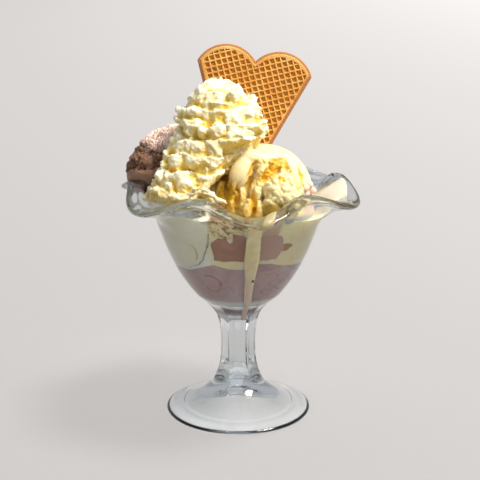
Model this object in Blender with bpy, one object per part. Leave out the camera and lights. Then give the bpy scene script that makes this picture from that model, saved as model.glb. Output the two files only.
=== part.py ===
"""Ice cream sundae in a stemmed pressed glass with a waved rim, as separate closed solids.

Metres, +Z up. The origin is the centre of the foot's underside, and -Y is the front of the sundae.
Each object is one piece: the glass, what fills its bowl, the scoops and whipped cream heaped on top,
and the heart wafer stood in behind them. Touching pieces keep an air gap of about GAP.
"""

import math

import bmesh
import bpy
from mathutils import Matrix, Vector, noise

MM = 0.001
GAP = 0.35 * MM

# Glass, outside of foot, stem and bowl as (radius, height), then over the rim and down inside
LOBES = 6
LOBE_TURN = math.radians(8.7)
AROUND = 42
REST_RING = (31.0 * MM, 35.0 * MM)
FOOT_HOLLOW = 3.4 * MM
FOOT_PROFILE = ((36.2, 0.8), (36.5, 1.9), (35.7, 3.0))
BODY_PROFILE = (
    (22.0, 6.7),
    (15.6, 11.5),
    (12.2, 17.0),
    (9.8, 24.5),
    (9.0, 33.0),
    (9.1, 43.0),
    (10.8, 50.0),
    (14.7, 55.2),
    (19.6, 60.2),
    (25.0, 67.0),
    (30.1, 75.0),
    (34.9, 85.0),
    (38.3, 94.0),
    (41.0, 101.0),
    (44.2, 106.4),
)
BOWL_START = 7
LIP_PROFILE = (
    (47.6, 110.2),
    (52.0, 112.6),
    (56.0, 113.2),
    (57.7, 114.6),
    (56.5, 116.1),
    (51.0, 117.1),
    (47.2, 115.2),
    (44.0, 111.3),
    (41.2, 106.4),
)
CREST_STATION = 5
CREST_HEIGHT = 117.1 * MM
WAVE_START = 97.0 * MM
WAVE_OUT = 3.5 * MM
WAVE_DROP = 3.2 * MM
WALL = 3.1 * MM
FLOOR = 58.4 * MM

# Levels in the bowl
MELT_SIDE = 77.0 * MM
MELT_FRONT = 86.0 * MM
DECK = 105.0 * MM
POOL = (Vector((41, -6, 111)) * MM, 11.0 * MM)

# Scoops: centre, radii, height of the grain
WHITE_SCOOP = (Vector((-25, -12, 97)), Vector((25, 25, 15.5)), 0.5)
SUNKEN_SCOOP = (Vector((3.5, -20, 94.5)), Vector((27, 22, 10)), 0.5)
CHOCOLATE_SCOOP = (Vector((-29, 10, 118)), Vector((26.3, 25, 26.3)), 1.3)
VANILLA_SCOOP = (Vector((12, -9, 113)), Vector((25, 24.5, 25.2)), 1.1)

SCOOP_DETAIL = (22, 14)
SUNK_DETAIL = (16, 10)

# Dents and lumps of a scoop: direction from its centre, half width as an angle, height
CHOCOLATE_MARKS = (
    ((-0.9, -0.4, -0.25), 0.35, -2.2),
    ((-0.8, -0.5, -0.55), 0.40, 2.0),
    ((-0.4, -0.6, 0.6), 0.45, 1.5),
    ((-0.2, 0.9, 0.3), 0.50, -2.0),
)
VANILLA_MARKS = (
    ((-0.55, -0.80, 0.25), 0.34, -6.0),
    ((-0.85, -0.45, 0.35), 0.26, 2.5),
    ((0.02, -0.90, 0.35), 0.22, -4.0),
    ((0.25, -0.95, -0.22), 0.34, 9.5),
    ((-0.28, -0.90, -0.30), 0.32, 8.5),
    ((0.85, -0.40, -0.35), 0.35, 2.0),
    ((0.20, 0.90, 0.25), 0.50, -1.5),
)

# Whipped cream: the heap's middle line from foot to peak as (x, y, height, radius)
CREAM_LINE = (
    (-28, -22, 104, 12.0),
    (-29, -23, 110, 17.5),
    (-28, -23, 118, 17.5),
    (-22, -19, 130, 16.5),
    (-12, -12, 138, 20.0),
    (-7, -8, 145, 22.0),
    (-9, -7, 153, 19.5),
    (-11, -6, 160, 13.5),
    (-10.5, -5, 165, 7.5),
    (-8.5, -5, 168, 2.0),
)
CREAM_STEPS = 2
CREAM_AROUND = 38
CREAM_TURNS = 5.0
CREAM_COIL = 0.15
CREAM_FLUTES = 10
CREAM_FLUTE = 0.045

# Heart wafer, in its own plane: across and up from its tip
WAFER_THICK = 3.6 * MM
WAFER_CORNER = (28.6 * MM, 77.2 * MM)
WAFER_LOBE = (12.9 * MM, 70.2 * MM, 17.1 * MM)
WAFER_BORDER = 2.6 * MM
WAFER_SUNK = 0.5 * MM
WAFER_TIP = Vector((-8.2, 13, 95)) * MM
WAFER_ROLL = math.radians(11.8)
WAFER_LEAN = math.radians(7.0)


def clear_scene():
    for item in list(bpy.data.objects):
        bpy.data.objects.remove(item)


def add_object(name, work, helper=False):
    """Links a closed bmesh as an object; a helper is only a cutter and shows as wire."""
    bmesh.ops.recalc_face_normals(work, faces=work.faces)
    mesh = bpy.data.meshes.new(name)
    work.to_mesh(mesh)
    work.free()
    item = bpy.data.objects.new(name, mesh)
    bpy.context.collection.objects.link(item)
    item.hide_render = helper
    if helper:
        item.display_type = "WIRE"
    return item


def dress(item, colour, roughness, transmission=0.0):
    """Gives a piece its material and its shading."""
    material = bpy.data.materials.new(item.name)
    material.use_nodes = True
    shader = material.node_tree.nodes["Principled BSDF"]
    shader.inputs["Base Color"].default_value = (*colour, 1.0)
    shader.inputs["Roughness"].default_value = roughness
    shader.inputs["Transmission Weight"].default_value = transmission
    item.data.materials.append(material)
    item.data.shade_smooth()
    item.data.set_sharp_from_angle(angle=math.radians(50))


def curve_through(points, steps):
    """Points on a smooth curve through the given ones, with this many steps to each stretch."""
    ends = [points[0], *points, points[-1]]
    made = []
    for before, start, end, after in zip(ends, ends[1:], ends[2:], ends[3:]):
        for step in range(steps):
            t = step / steps
            weights = (
                -0.5 * t + t**2 - 0.5 * t**3,
                1 - 2.5 * t**2 + 1.5 * t**3,
                0.5 * t + 2 * t**2 - 1.5 * t**3,
                -0.5 * t**2 + 0.5 * t**3,
            )
            corners = zip(before, start, end, after)
            made.append(tuple(sum(w * c for w, c in zip(weights, four)) for four in corners))
    return [*made, tuple(points[-1])]


def in_mm(points):
    return [(radius * MM, height * MM) for radius, height in points]


def wall_line(clearance):
    """(radius, height) up the inner wall, from the bowl's floor to under the rim's crest."""
    outside = in_mm(BODY_PROFILE[BOWL_START:-1])
    line = [(5.0 * MM, FLOOR + clearance)]
    for (r0, z0), (r1, z1) in zip(outside, outside[1:]):
        along = Vector((r1 - r0, z1 - z0)).normalized()
        inset = WALL + clearance
        line.append(((r0 + r1) / 2 - along.y * inset, (z0 + z1) / 2 + along.x * inset))
    return line


def waved_ring(work, radius, height, around=AROUND):
    """A ring of vertices that takes the rim's wave more and more above WAVE_START."""
    share = min(max((height - WAVE_START) / (CREST_HEIGHT - WAVE_START), 0.0), 1.0)
    share = max(share, min(max((radius - 44 * MM) / (7 * MM), 0.0), 1.0))
    share = share * share * (3 - 2 * share)
    ring = []
    for step in range(around):
        turn = 2 * math.pi * step / around
        lobe = math.cos(LOBES * (turn - LOBE_TURN)) * share
        reach = radius + WAVE_OUT * lobe
        place = (reach * math.sin(turn), -reach * math.cos(turn), height - WAVE_DROP * lobe)
        ring.append(work.verts.new(place))
    return ring


def pole(work, ring, height):
    """Closes a ring with a fan to one point on the axis."""
    centre = work.verts.new((0, 0, height))
    for a, b in zip(ring, ring[1:] + ring[:1]):
        work.faces.new((a, b, centre))


def skin(work, rings):
    for lower, upper in zip(rings, rings[1:]):
        for i in range(len(lower)):
            j = (i + 1) % len(lower)
            work.faces.new((lower[i], lower[j], upper[j]))
            work.faces.new((lower[i], upper[j], upper[i]))


def make_glass():
    work = bmesh.new()
    inner, outer = REST_RING
    hollow = [(inner * t, FOOT_HOLLOW * (1 - t * t)) for t in (0.5, 1.0)]
    outside = in_mm(FOOT_PROFILE + BODY_PROFILE + LIP_PROFILE)
    profile = [*hollow, (outer, 0.0), *outside]
    profile += reversed(wall_line(0.0))
    rings = [waved_ring(work, radius, height) for radius, height in profile]
    skin(work, rings)
    pole(work, rings[0], FOOT_HOLLOW)
    pole(work, rings[-1], FLOOR)
    return add_object("coupe_glass", work)


def make_mould():
    """All that lies outside the bowl's inner wall and under its rim, to cut the contents with."""
    work = bmesh.new()
    crest = in_mm(LIP_PROFILE[CREST_STATION - 1 : CREST_STATION + 1])
    inner = in_mm(LIP_PROFILE[CREST_STATION + 1 :])
    line = [(100 * MM, 114 * MM), (62 * MM, 114.6 * MM)]
    line += [(radius, height + GAP) for radius, height in crest]
    line += [(radius - 0.8 * GAP, height + 0.6 * GAP) for radius, height in inner]
    line += reversed(wall_line(GAP))
    rings = [waved_ring(work, radius, height) for radius, height in line]
    base = [waved_ring(work, radius, 40 * MM) for radius in (20 * MM, 100 * MM)]
    skin(work, [*base, *rings])
    pole(work, rings[-1], FLOOR + GAP)
    pole(work, base[0], 40 * MM)
    return add_object("bowl_mould", work, helper=True)


def mark_height(direction, marks):
    total = 0.0
    for aim, width, height in marks:
        angle = direction.angle(Vector(aim))
        total += height * math.exp(-((angle / width) ** 2))
    return total


def make_scoop(name, scoop, marks=(), detail=SCOOP_DETAIL, grow=0.0):
    """A ball of ice cream: grained all over, with its dents and lumps."""
    centre, radii, grain = scoop
    around, up = detail
    work = bmesh.new()
    bmesh.ops.create_uvsphere(work, u_segments=around, v_segments=up, radius=1.0)
    bmesh.ops.triangulate(work, faces=work.faces)
    for vertex in work.verts:
        direction = vertex.co.normalized()
        rough = noise.fractal(direction * 2.6 + centre, 0.8, 2.2, 3) * grain
        lift = rough + mark_height(direction, marks)
        vertex.co = (centre + direction * radii + direction * lift) * MM + direction * grow
    return add_object(name, work, helper=grow > 0)


def make_cream(name, grow=0.0):
    """Piped cream: a leaning heap whose radius swells along a climbing coil and is fluted."""
    line = curve_through(CREAM_LINE, CREAM_STEPS)
    work = bmesh.new()
    rings = []
    for index, (x, y, z, radius) in enumerate(line):
        climb = index / (len(line) - 1)
        ring = []
        for step in range(CREAM_AROUND):
            turn = 2 * math.pi * step / CREAM_AROUND
            coil = math.cos(2 * math.pi * CREAM_TURNS * climb - turn)
            coil = 1 - 2 * (0.5 - 0.5 * coil) ** 0.7
            flute = math.cos(CREAM_FLUTES * turn + 9 * climb)
            wander = noise.noise(Vector((math.cos(turn), math.sin(turn), 6 * climb)) * 1.3)
            swell = 1 + CREAM_COIL * coil + CREAM_FLUTE * flute + 0.10 * wander
            reach = radius * MM * swell + grow
            tilt = 0.16 * reach * math.cos(turn + 0.5)
            place = Vector((x, y, z)) * MM + Vector((math.cos(turn), math.sin(turn), 0)) * reach
            place.z -= tilt * min(1.0, 4 * climb * (1 - climb) + 0.2)
            ring.append(work.verts.new(place))
        rings.append(ring)
    skin(work, rings)
    for ring, shift in ((rings[0], -2.0 * MM - grow), (rings[-1], 2.2 * MM + grow)):
        middle = sum((vertex.co for vertex in ring), Vector()) / len(ring)
        tip = work.verts.new(middle + Vector((0, 0, shift)))
        for a, b in zip(ring, ring[1:] + ring[:1]):
            work.faces.new((a, b, tip))
    return add_object(name, work, helper=grow > 0)


def heart_outline(inset):
    """Corner points round the heart, moved in by the inset, from its tip anticlockwise."""
    across, up = WAFER_CORNER
    mid_x, mid_y, radius = WAFER_LOBE
    half = math.atan2(across, up)
    start = math.atan2(up - mid_y, across - mid_x)
    end = math.acos(-mid_x / radius)
    right = []
    for step in range(11):
        turn = start + (end - start) * step / 10
        reach = radius - inset
        right.append((mid_x + reach * math.cos(turn), mid_y + reach * math.sin(turn)))
    right[0] = (right[0][0] - 0.4 * inset, right[0][1] - 0.5 * inset)
    right[-1] = (0.0, right[-1][1] - 0.6 * inset)
    left = [(-x, y) for x, y in reversed(right[:-1])]
    return [(0.0, inset / math.sin(half)), *right, *left]


def make_wafer(name, grow=0.0):
    """A flat heart with a raised border round a slightly sunk field on both faces."""
    work = bmesh.new()
    half = WAFER_THICK / 2 + grow
    border = WAFER_BORDER + grow
    sunk = half - (0.0 if grow else WAFER_SUNK)
    layers = ((border + 0.8 * MM, -sunk), (border, -half), (-grow, -half))
    layers = [*layers, *((inset, -depth) for inset, depth in reversed(layers))]
    rings = []
    for inset, depth in layers:
        rings.append([work.verts.new((x, depth, y)) for x, y in heart_outline(inset)])
    skin(work, rings)
    work.faces.new(rings[0])
    work.faces.new(rings[-1])
    bmesh.ops.triangulate(work, faces=[face for face in work.faces if len(face.verts) > 4])
    turn = Matrix.Rotation(-WAFER_LEAN, 4, "X") @ Matrix.Rotation(WAFER_ROLL, 4, "Y")
    bmesh.ops.transform(work, matrix=Matrix.Translation(WAFER_TIP) @ turn, verts=work.verts)
    return add_object(name, work, helper=grow > 0)


def melt_top(x, y):
    front = min(max(-y / (34 * MM), 0.0), 1.0)
    ripple = 0.5 * MM * noise.noise(Vector((x, y, 0)) * 70)
    return MELT_SIDE + (MELT_FRONT - MELT_SIDE) * front + ripple


def deck_top(x, y):
    """The melted vanilla's top: level, but risen to a pool at the right of the rim."""
    middle, width = POOL
    away = math.hypot(x - middle.x, y - middle.y) / width
    ripple = 0.9 * MM * noise.noise(Vector((x, y, 0.02)) * 60)
    return DECK + (middle.z - DECK) * math.exp(-(away**2)) + ripple


def make_fill(name, top, rings=6, around=30, reach=52 * MM, base=50 * MM):
    """A column whose top follows a height function, wider than the bowl that will trim it."""
    work = bmesh.new()
    loops = []
    for share in range(1, rings + 1):
        radius = reach * share / rings
        loop = []
        for step in range(around):
            turn = 2 * math.pi * step / around
            x, y = radius * math.cos(turn), radius * math.sin(turn)
            loop.append(work.verts.new((x, y, top(x, y))))
        loops.append(loop)
    foot = [work.verts.new((v.co.x, v.co.y, base)) for v in loops[-1]]
    skin(work, [*loops, foot])
    pole(work, loops[0], top(0.0, 0.0))
    pole(work, foot, base)
    return add_object(name, work)


def cut(item, cutters):
    """Takes the cutters away from an item and keeps its one main body."""
    for cutter in cutters:
        step = item.modifiers.new(f"clear of {cutter.name}", "BOOLEAN")
        step.object = cutter
        step.operation = "DIFFERENCE"
        step.solver = "EXACT"
    graph = bpy.context.evaluated_depsgraph_get()
    item.data = bpy.data.meshes.new_from_object(item.evaluated_get(graph))
    item.modifiers.clear()
    work = bmesh.new()
    work.from_mesh(item.data)
    bodies = []
    waiting = set(work.verts)
    while waiting:
        body = set()
        front = [waiting.pop()]
        while front:
            vertex = front.pop()
            body.add(vertex)
            near = {edge.other_vert(vertex) for edge in vertex.link_edges} & waiting
            waiting -= near
            front.extend(near)
        bodies.append(body)
    bodies.sort(key=len)
    crumbs = [vertex for body in bodies[:-1] for vertex in body]
    bmesh.ops.delete(work, geom=crumbs, context="VERTS")
    work.to_mesh(item.data)
    work.free()


def build():
    clear_scene()
    mould = make_mould()
    melt_body = make_fill("melt_cutter", lambda x, y: melt_top(x, y) + GAP)
    melt_body.hide_render = True
    melt_body.display_type = "WIRE"

    glass = make_glass()
    wafer = make_wafer("heart_wafer")
    melt = make_fill("lower_melt", melt_top)
    white = make_scoop("white_scoop", WHITE_SCOOP, detail=SUNK_DETAIL)
    sunken = make_scoop("sunken_chocolate_scoop", SUNKEN_SCOOP, detail=SUNK_DETAIL)
    chocolate = make_scoop("chocolate_scoop", CHOCOLATE_SCOOP, CHOCOLATE_MARKS)
    vanilla = make_scoop("vanilla_scoop", VANILLA_SCOOP, VANILLA_MARKS)
    cream = make_cream("whipped_cream")
    fill = make_fill("vanilla_fill", deck_top)

    wafer_room = make_wafer("wafer_room", GAP)
    white_room = make_scoop("white_room", WHITE_SCOOP, detail=SUNK_DETAIL, grow=GAP)
    sunken_room = make_scoop("sunken_room", SUNKEN_SCOOP, detail=SUNK_DETAIL, grow=GAP)
    chocolate_room = make_scoop("chocolate_room", CHOCOLATE_SCOOP, CHOCOLATE_MARKS, grow=GAP)
    vanilla_room = make_scoop("vanilla_room", VANILLA_SCOOP, VANILLA_MARKS, grow=GAP)
    cream_room = make_cream("cream_room", GAP)

    below = [mould, melt_body, wafer_room]
    cut(melt, [mould])
    cut(white, below)
    cut(sunken, [*below, white_room])
    sunk = [*below, white_room, sunken_room]
    cut(chocolate, sunk)
    cut(vanilla, [*sunk, chocolate_room])
    cut(cream, [*sunk, chocolate_room, vanilla_room])
    cut(fill, [*sunk, chocolate_room, vanilla_room, cream_room])

    dress(glass, (0.86, 0.88, 0.88), 0.03, transmission=1.0)
    dress(wafer, (0.55, 0.28, 0.08), 0.6)
    dress(melt, (0.32, 0.20, 0.19), 0.35)
    dress(white, (0.78, 0.72, 0.55), 0.4)
    dress(sunken, (0.17, 0.09, 0.06), 0.4)
    dress(chocolate, (0.13, 0.06, 0.035), 0.55)
    dress(vanilla, (0.86, 0.72, 0.42), 0.4)
    dress(cream, (0.93, 0.86, 0.66), 0.5)
    dress(fill, (0.80, 0.68, 0.42), 0.35)
    for item in list(bpy.data.objects):
        if item.hide_render:
            bpy.data.objects.remove(item)


build()
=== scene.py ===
# %% [markdown]
# # An ice cream sundae in a stemmed glass
#
# This lesson dresses a plain engineering model of a sundae: a waved pressed glass filled with
# melted ice cream, three kinds of scoops, a heap of piped cream and a waffle heart stood behind.
# The plain model is loaded as a fixed frame. Each of its pieces is then replaced by one with the
# fine shape and the material of the real thing, in the same place and at the same size.
# Lengths are written in millimetres and turned to Blender's metres where a mesh is finished.

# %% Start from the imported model
import math

import bmesh
import bpy
import numpy as np
from mathutils import Matrix, Vector, noise


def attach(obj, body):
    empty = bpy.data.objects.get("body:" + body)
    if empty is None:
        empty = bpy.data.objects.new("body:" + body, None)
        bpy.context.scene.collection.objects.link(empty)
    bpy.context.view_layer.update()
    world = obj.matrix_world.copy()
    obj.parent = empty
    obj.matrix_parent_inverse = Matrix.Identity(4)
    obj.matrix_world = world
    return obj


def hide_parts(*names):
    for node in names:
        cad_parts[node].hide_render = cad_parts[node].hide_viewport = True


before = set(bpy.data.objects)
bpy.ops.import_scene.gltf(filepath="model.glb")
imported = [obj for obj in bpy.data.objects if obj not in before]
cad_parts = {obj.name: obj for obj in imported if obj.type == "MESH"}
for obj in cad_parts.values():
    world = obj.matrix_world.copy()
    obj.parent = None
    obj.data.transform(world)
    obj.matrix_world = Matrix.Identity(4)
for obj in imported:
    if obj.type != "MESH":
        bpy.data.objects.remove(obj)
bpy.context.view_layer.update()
MM = 0.001

# %% [markdown]
# ## Small helpers
#
# Colours are written as sRGB hex values, as a colour picker shows them, and turned to the linear
# values that a shader works in. One function adds a shader node with its settings and its links,
# so that each material below reads as a list of what feeds what.


# %% Colours and nodes
def linear(hex_colour):
    parts = [int(hex_colour[i : i + 2], 16) / 255 for i in (1, 3, 5)]
    return tuple(p / 12.92 if p <= 0.04045 else ((p + 0.055) / 1.055) ** 2.4 for p in parts)


BUMP_DEPTH = 0.6 * MM


def add(tree, kind, inputs=None, stops=(), **settings):
    """Adds a node; an input is a value, a hex colour, or another node's socket to link from.

    Stops are those of a colour ramp, as (position, hex colour).
    """
    node = tree.nodes.new(kind)
    for name, value in settings.items():
        setattr(node, name, value)
    for name, value in (inputs or {}).items():
        if isinstance(value, bpy.types.NodeSocket):
            tree.links.new(value, node.inputs[name])
        elif isinstance(value, str):
            node.inputs[name].default_value = (*linear(value), 1.0)
        else:
            node.inputs[name].default_value = value
    if stops:
        elements = node.color_ramp.elements
        while len(elements) < len(stops):
            elements.new(0.5)
        for element, (position, colour) in zip(elements, stops):
            element.position = position
            element.color = (*linear(colour), 1.0)
    return node


def tinted(tree, colour, tints):
    """Lays tints over a colour, each by a vertex value: (its name, low, high, tint)."""
    for name, low, high, tint in tints:
        value = add(tree, "ShaderNodeAttribute", attribute_name=name).outputs["Fac"]
        spread = {"Value": value, "From Min": low, "From Max": high}
        share = add(tree, "ShaderNodeMapRange", spread).outputs["Result"]
        inputs = {"Factor": share, 6: colour, 7: tint}
        colour = add(tree, "ShaderNodeMix", inputs, data_type="RGBA").outputs[2]
    return colour


def paint(tree, shader, colour, tints):
    """Makes a colour with its tints the surface's base colour."""
    tree.links.new(tinted(tree, colour, tints), shader.inputs["Base Color"])


def new_material(name, **surface):
    """A material with one Principled shader whose plain sockets are set here."""
    material = bpy.data.materials.new(name)
    material.use_nodes = True
    tree = material.node_tree
    shader = tree.nodes["Principled BSDF"]
    for socket, value in surface.items():
        socket = socket.replace("_", " ")
        if isinstance(value, str):
            value = (*linear(value), 1.0)
        shader.inputs[socket].default_value = value
    return material, tree, shader


# %% [markdown]
# Every finished piece goes through one function: it writes the mesh, smooths the shading, gives
# it its material and hides the plain piece of the model it stands for. A value per vertex, such
# as how deep a spot lies in a fold, can go along as an attribute for the material to read.


# %% Finish a piece
def clipped(values):
    """Keeps values between 0 and 1."""
    return np.clip(values, 0, 1)


sundae = bpy.data.collections.new("sundae")
food = bpy.data.collections.new("food")
bowl = bpy.data.collections.new("glass and filling")


def coordinates(work):
    return np.array([vertex.co[:] for vertex in work.verts])


def place(work, points):
    for vertex, point in zip(work.verts, points):
        vertex.co = point


def as_object(name, work):
    """Writes a bmesh to a new object in the scene."""
    mesh = bpy.data.meshes.new(name)
    work.to_mesh(mesh)
    work.free()
    made = bpy.data.objects.new(name, mesh)
    bpy.context.collection.objects.link(made)
    return made


def finish(name, work, material, replaces=(), values=None, smooth=True, in_bowl=False):
    """Turns a bmesh in millimetres into a finished object in metres."""
    bmesh.ops.scale(work, vec=(MM, MM, MM), verts=work.verts)
    bmesh.ops.recalc_face_normals(work, faces=work.faces)
    piece = as_object(name, work)
    mesh = piece.data
    sundae.objects.link(piece)
    if material.name != "pressed soda-lime glass":
        food.objects.link(piece)
    if in_bowl:
        bowl.objects.link(piece)
    mesh.materials.append(material)
    if smooth:
        mesh.shade_smooth()
    for label, numbers in (values or {}).items():
        layer = mesh.attributes.new(label, "FLOAT", "POINT")
        layer.data.foreach_set("value", np.asarray(numbers, dtype=np.float32))
    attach(piece, "root")
    for node in replaces:
        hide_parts(node)
    mesh.calc_loop_triangles()
    print(f"{name}: {len(mesh.loop_triangles)} triangles")
    return piece


# %% [markdown]
# ## The glass
#
# A pressed sundae glass is one turned shape: foot, solid stem, tulip bowl and a lip that rolls
# outwards. Its lip is then bent into six waves that die out down the bowl. In Blender that is a
# profile spun round the axis, followed by a move of each vertex by the cosine of its angle. The
# profile runs through a few measured stations (radius, height), joined by a smooth curve.

# %% The glass's stations
LOBES = 6
LOBE_TURN = math.radians(8.7)
WAVE_START = 97.0
CREST = 117.1
WAVE_OUT = 3.5
WAVE_DROP = 3.2
FLOOR = 61.0
FACET_TURN = math.radians(3.0)
FACET_SHARE = [(17, 0), (23, 1), (52, 1), (62, 0)]

UNDER_FOOT = [
    (0.0, 12.4), (4.0, 11.7), (8.0, 9.4), (12.0, 7.3), (16.0, 5.5), (20.0, 4.1), (24.0, 2.9),
    (26.2, 2.3), (27.0, 1.9), (30.0, 1.2), (32.4, 0.5), (34.0, 0.1), (34.8, 0.0),
]
OUTSIDE = [
    (35.9, 0.3), (36.3, 0.9), (36.1, 1.5), (35.2, 2.1), (33.4, 2.8), (30.0, 3.9), (24.0, 6.6),
    (18.0, 10.0), (14.4, 13.0), (12.7, 15.2), (11.8, 17.0), (10.2, 21.5), (9.1, 27.0), (8.8, 32.0),
    (8.8, 37.0), (9.1, 43.0), (10.8, 50.0), (14.7, 55.2), (19.6, 60.2), (25.0, 67.0), (30.1, 75.0),
    (34.9, 85.0), (38.3, 94.0), (41.0, 101.0), (44.2, 106.4), (47.6, 110.2), (52.0, 112.6),
    (56.0, 113.2), (57.7, 114.6), (56.5, 116.1), (54.0, 116.9), (51.0, 117.1),
]
INSIDE = [
    (51.0, 117.1), (47.2, 115.2), (44.0, 111.3), (41.2, 106.4), (38.1, 99.0), (33.6, 89.2),
    (28.9, 79.2), (24.2, 70.9), (19.4, 65.6), (14.0, 62.4), (7.5, 61.2), (0.0, 61.0),
]


def curve_through(points, steps):
    """A smooth curve through the points, with this many steps to each stretch."""
    points = np.array(points, dtype=float)
    ends = np.vstack([2 * points[0] - points[1], points, 2 * points[-1] - points[-2]])
    t = np.linspace(0, 1, steps, endpoint=False)[:, None]
    pieces = []
    for before, start, end, after in zip(ends, ends[1:], ends[2:], ends[3:]):
        bend = 2 * before - 5 * start + 4 * end - after
        twist = 3 * start - before - 3 * end + after
        pieces.append(0.5 * (2 * start + (end - before) * t + bend * t**2 + twist * t**3))
    return np.vstack([*pieces, points[-1:]])


def wave_share(radius, height):
    """How much of the lip's wave a spot takes: none low in the bowl, all of it at the crest."""
    by_height = (height - WAVE_START) / (CREST - WAVE_START)
    by_radius = (radius - 44.0) / 7.0
    share = clipped(np.maximum(by_height, by_radius))
    share = np.where(height < 90, 0, share)
    return share * share * (3 - 2 * share)


def lobe_at(turn):
    return np.cos(LOBES * (turn - LOBE_TURN))


def turn_of(points):
    """The angle round the axis, from the front towards the right."""
    return np.arctan2(points[:, 0], -points[:, 1])


def bend_lip(points):
    """Bends a plain turned shape into the glass's six waves, and its stem into six facets."""
    radius = np.hypot(points[:, 0], points[:, 1])
    turn = turn_of(points)
    lobe = lobe_at(turn) * wave_share(radius, points[:, 2])
    grow = 1 + WAVE_OUT * lobe / np.maximum(radius, 1)
    from_middle = (turn - FACET_TURN + math.pi / 6) % (math.pi / 3) - math.pi / 6
    flat = np.minimum((math.cos(math.pi / 6) / np.cos(from_middle)) ** 1.4, 0.985)
    grow *= 1 + (flat - 1) * np.interp(points[:, 2], *np.transpose(FACET_SHARE))
    moved = points * np.column_stack([grow, grow, np.ones(len(points))])
    moved[:, 2] -= WAVE_DROP * lobe
    return moved


# %% Spin the glass
AROUND = 240


def spun(profile):
    """A closed bmesh of a (radius, height) profile spun round the axis."""
    work = bmesh.new()
    line = [work.verts.new((radius, 0, height)) for radius, height in profile]
    edges = [work.edges.new(pair) for pair in zip(line, line[1:])]
    bmesh.ops.spin(
        work,
        geom=line + edges,
        axis=(0, 0, 1),
        cent=(0, 0, 0),
        steps=AROUND,
        angle=2 * math.pi,
        use_merge=True,
    )
    bmesh.ops.remove_doubles(work, verts=work.verts, dist=0.0005)
    return work


outside_line = np.vstack([curve_through(UNDER_FOOT, 3)[:-1], curve_through(OUTSIDE, 5)])
inside_line = curve_through(INSIDE, 6)
glass_work = spun(np.vstack([outside_line, inside_line[1:]]))
place(glass_work, bend_lip(coordinates(glass_work)))

# %% [markdown]
# Soda-lime glass has an IOR of 1.52. Pressed glass is not quite as even as blown glass: its
# surface waves slightly, which a weak, wide bump gives, and its thick parts look faintly grey.

# %% Pressed soda-lime glass
pressed_glass, tree, shader = new_material(
    "pressed soda-lime glass",
    Base_Color="#e8ebec",
    Roughness=0.015,
    IOR=1.52,
    Transmission_Weight=1.0,
)
where = add(tree, "ShaderNodeTexCoord").outputs["Object"]
swell = add(tree, "ShaderNodeTexNoise", {"Vector": where, "Scale": 90.0, "Detail": 1.0})
uneven = {"Height": swell.outputs["Fac"], "Strength": 0.12, "Distance": BUMP_DEPTH}
bump = add(tree, "ShaderNodeBump", uneven)
tree.links.new(bump.outputs["Normal"], shader.inputs["Normal"])
depths = add(tree, "ShaderNodeVolumeAbsorption", {"Color": "#c0c9cb", "Density": 15.0})
tree.links.new(depths.outputs["Volume"], tree.nodes["Material Output"].inputs["Volume"])
glass = finish("pressed_glass_coupe", glass_work, pressed_glass, ["coupe_glass"], in_bowl=True)

# %% [markdown]
# ## Things that lie against the glass
#
# Whatever fills the bowl takes the bowl's shape where it touches. So a piece is first shaped
# freely, and then every vertex that would lie in or beyond the wall is brought back to the wall,
# a hair inside its surface so that no film of air shows through the glass. This needs the inner
# wall's radius for any height and angle, which is read from the same curve as the glass itself.


# %% Where the inner wall is
# how far into the glass each piece reaches, in mm, so that no film of air is left
REACH = {
    "mauve melt": 0.30,
    "half-melted vanilla": 0.20,
    "cream ice": 0.45,
    "chocolate ice": 0.40,
    "scoops on top": 0.25,
    "whipped cream": 0.20,
}
LOBE_STEPS = np.linspace(-1, 1, 21)
HEIGHT_STEPS = np.linspace(FLOOR, CREST + WAVE_DROP + 0.5, 160)


def wall_table():
    rows = []
    for lobe in LOBE_STEPS:
        share = wave_share(inside_line[:, 0], inside_line[:, 1]) * lobe
        radius = inside_line[:, 0] + WAVE_OUT * share
        height = inside_line[:, 1] - WAVE_DROP * share
        rows.append(np.interp(HEIGHT_STEPS, height[::-1], radius[::-1]))
    return np.array(rows)


WALL_TABLE = wall_table()


def wall_radius(turn, height):
    """The inner wall's radius at an angle and a height."""
    row = (lobe_at(turn) + 1) / 2 * (len(LOBE_STEPS) - 1)
    column = np.interp(height, HEIGHT_STEPS, np.arange(len(HEIGHT_STEPS)))
    low_row = np.clip(row.astype(int), 0, len(LOBE_STEPS) - 2)
    low_column = np.clip(column.astype(int), 0, len(HEIGHT_STEPS) - 2)
    across, along = row - low_row, column - low_column
    return (
        WALL_TABLE[low_row, low_column] * (1 - across) * (1 - along)
        + WALL_TABLE[low_row + 1, low_column] * across * (1 - along)
        + WALL_TABLE[low_row, low_column + 1] * (1 - across) * along
        + WALL_TABLE[low_row + 1, low_column + 1] * across * along
    )


def crest_height(turn):
    return CREST - WAVE_DROP * lobe_at(turn)


def press_on_wall(points, reach):
    """Brings the points that lie beyond the inner wall back to it."""
    turn = turn_of(points)
    radius = np.hypot(points[:, 0], points[:, 1])
    limit = wall_radius(turn, points[:, 2]) + reach
    beyond = np.where(points[:, 2] < crest_height(turn), radius - limit, 0)
    shrink = np.where(beyond > 0, limit / np.maximum(radius, 1e-6), 1.0)
    return points * np.column_stack([shrink, shrink, np.ones(len(points))])


front_wall = wall_radius(np.zeros(1), np.full(1, 90.0))[0]
print("inner wall at the front, 90 mm up:", round(float(front_wall), 1))

# %% [markdown]
# Food is never smooth at the scale of a millimetre. One function gives a rough number to every
# point: several sizes of noise on top of each other, of which the first is as large as asked.


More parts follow.
